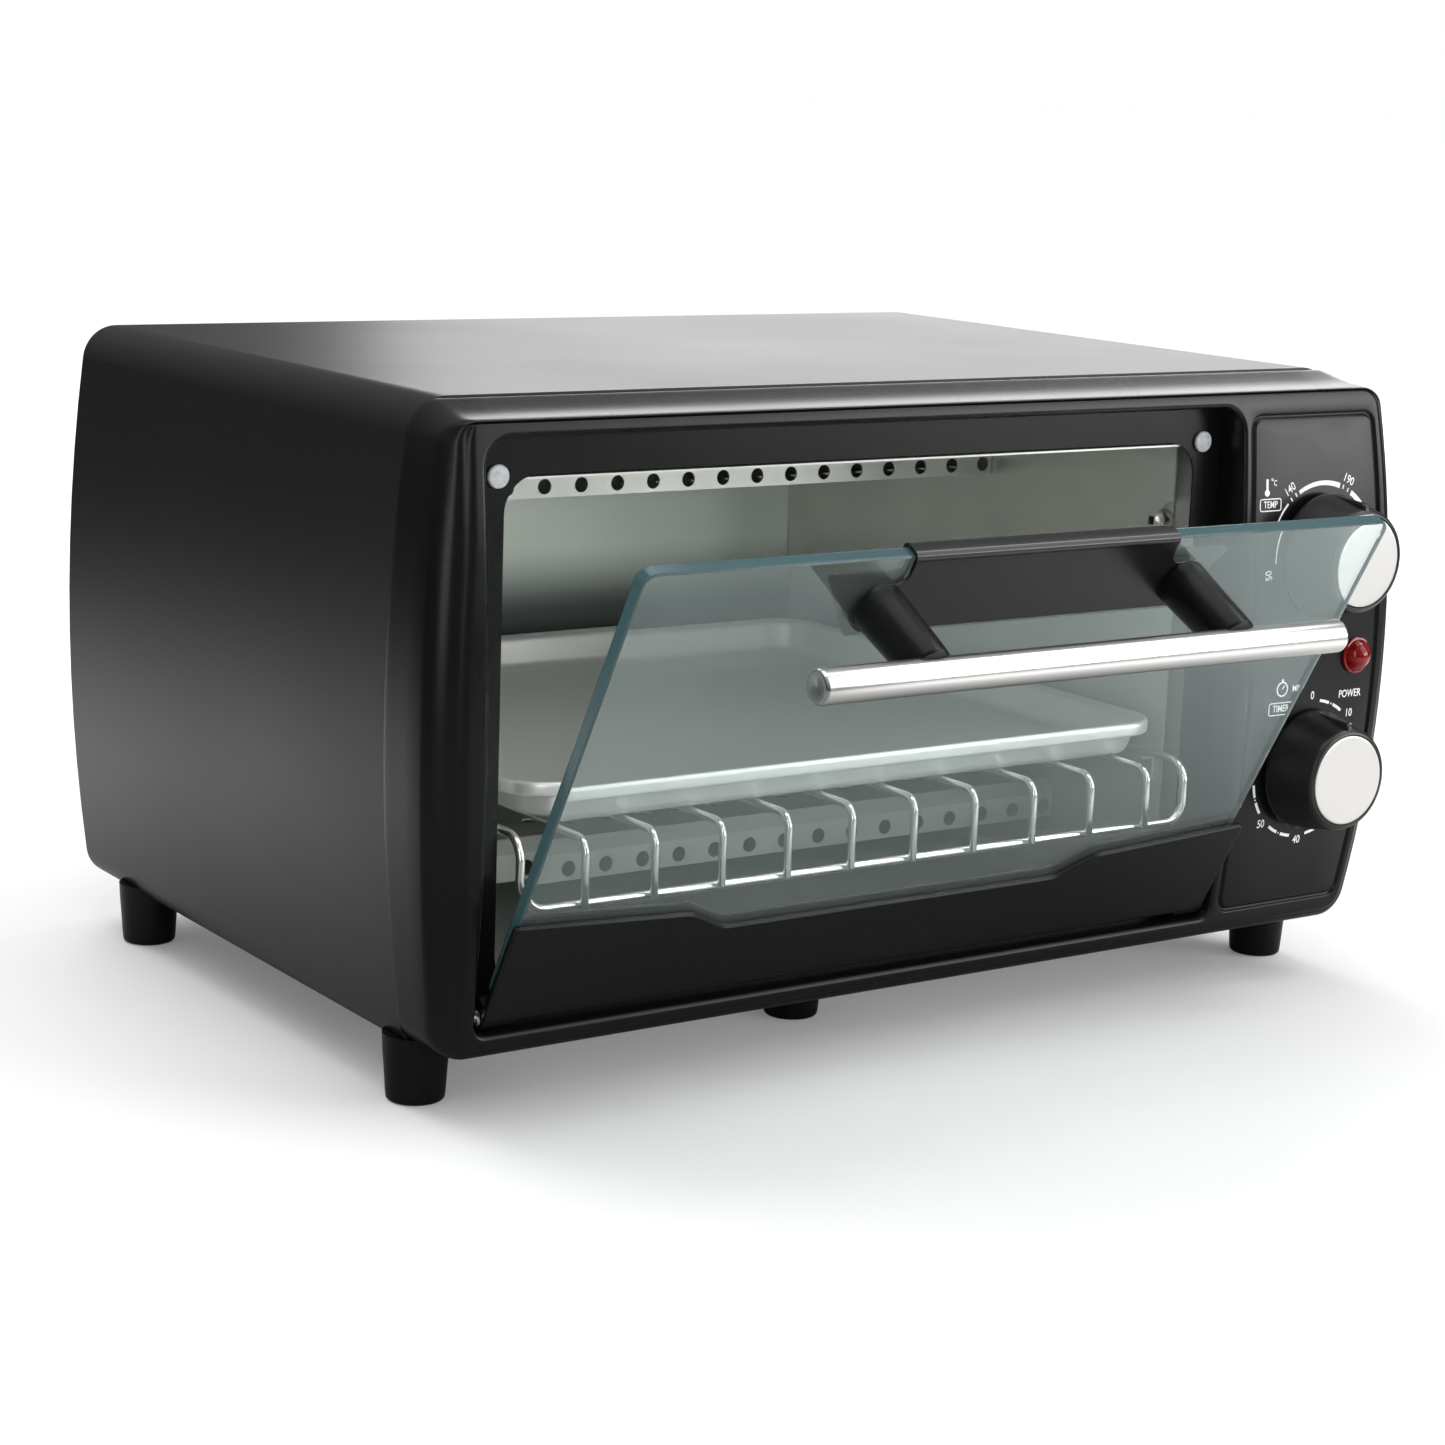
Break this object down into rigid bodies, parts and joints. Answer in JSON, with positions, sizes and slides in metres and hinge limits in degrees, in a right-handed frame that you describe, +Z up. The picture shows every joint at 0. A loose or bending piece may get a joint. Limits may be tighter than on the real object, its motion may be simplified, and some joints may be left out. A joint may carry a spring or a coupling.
{
  "type": "toaster oven",
  "caption": "Compact toaster oven with a drop-down glass door that draws out its wire rack, a baking tray, two turning controls and an indicator lamp.",
  "frame": {"origin": "on the floor, under the middle of the whole object's box with the door part open", "axes": "+X to the right seen from the front, +Y to the back, +Z up; the door is at the -Y end"},
  "size_m": [0.369, 0.3492, 0.206],
  "materials": {
    "black_steel": "satin",
    "black_plastic": "satin",
    "rubber_black": "matte",
    "galvanised_steel": "satin",
    "element_steel": "matte",
    "ceramic_white": "matte",
    "pale_plastic": "matte",
    "wire_insulation": "matte",
    "plated_steel": "satin",
    "silicone_grey": "matte",
    "lens_red": "gloss",
    "lamp_glass": "gloss",
    "door_glass": "gloss",
    "satin_aluminium": "satin",
    "chrome_wire": "polished",
    "tray_metal": "satin"
  },
  "bodies": {
    "root": {"casing": "black_steel", "rear_panel": "black_steel", "base_plate": "galvanised_steel", "front_frame": "black_plastic", "inner_frame": "black_steel", "cavity_left_wall": "galvanised_steel", "cavity_right_wall": "galvanised_steel", "cavity_ceiling": "galvanised_steel", "cavity_floor": "galvanised_steel", "cavity_rear_wall": "galvanised_steel", "upper_heater_guard": "galvanised_steel", "lower_heater_guard": "galvanised_steel", "upper_heating_element": "element_steel", "lower_heating_element": "element_steel", "element_bushings": "ceramic_white", "rack_rails": "galvanised_steel", "heat_shield": "galvanised_steel", "control_bracket": "galvanised_steel", "thermostat": "pale_plastic", "timer": "plated_steel", "timer_bell": "plated_steel", "indicator_lens": "lens_red", "indicator_lamp": "lamp_glass", "door_bumpers": "silicone_grey", "hinge_pins": "plated_steel", "hinge_brackets": "galvanised_steel", "hinge_washers": "plated_steel", "cord_gland": "rubber_black", "terminal_block": "pale_plastic", "wiring": "wire_insulation", "foot_front_left": "rubber_black", "foot_front_right": "rubber_black", "foot_rear_left": "rubber_black", "foot_rear_right": "rubber_black", "foot_centre": "rubber_black", "foot_screws": "plated_steel", "rear_screws": "plated_steel", "cavity_screws": "plated_steel", "control_screws": "plated_steel"},
    "door": {"door_glass": "door_glass", "door_trim": "black_plastic", "door_inner_strip": "black_steel", "door_screws": "plated_steel", "handle_bracket": "black_steel", "handle_pad": "silicone_grey", "handle_post_left": "black_plastic", "handle_post_right": "black_plastic", "handle_bar": "satin_aluminium", "handle_screws": "plated_steel"},
    "temp_control": {"temp_knob": "black_plastic", "temp_knob_cap": "satin_aluminium", "temp_shaft": "plated_steel"},
    "timer_control": {"timer_knob": "black_plastic", "timer_knob_cap": "satin_aluminium", "timer_shaft": "plated_steel"},
    "rack": {"wire_rack": "chrome_wire"},
    "tray": {"baking_tray": "tray_metal"}
  },
  "joints": [
    {"name": "door_hinge", "type": "hinge", "parent": "root", "child": "door", "pos_m": [-0.0255, -0.07192, 0.031], "axis": [1, 0, 0], "range_deg": [-28.6, 56.4]},
    {"name": "temp_turn", "type": "hinge", "parent": "root", "child": "temp_control", "pos_m": [0.15, -0.08242, 0.148], "axis": [0, 1, 0], "range_deg": [-92.5, 95]},
    {"name": "timer_turn", "type": "hinge", "parent": "root", "child": "timer_control", "pos_m": [0.15, -0.08242, 0.075], "axis": [0, 1, 0], "range_deg": [0, 270]},
    {"name": "rack_slide", "type": "slide", "parent": "root", "child": "rack", "axis": [0, -1, 0], "range_m": [-0.0106, 0.0208]},
    {"name": "tray_lift", "type": "slide", "parent": "rack", "child": "tray", "axis": [0, 0, 1], "range_m": [0, 0.025]}
  ],
  "couplings": [
    {"joint": "rack_slide", "follows": "door_hinge", "m_per_rad": 0.021}
  ]
}
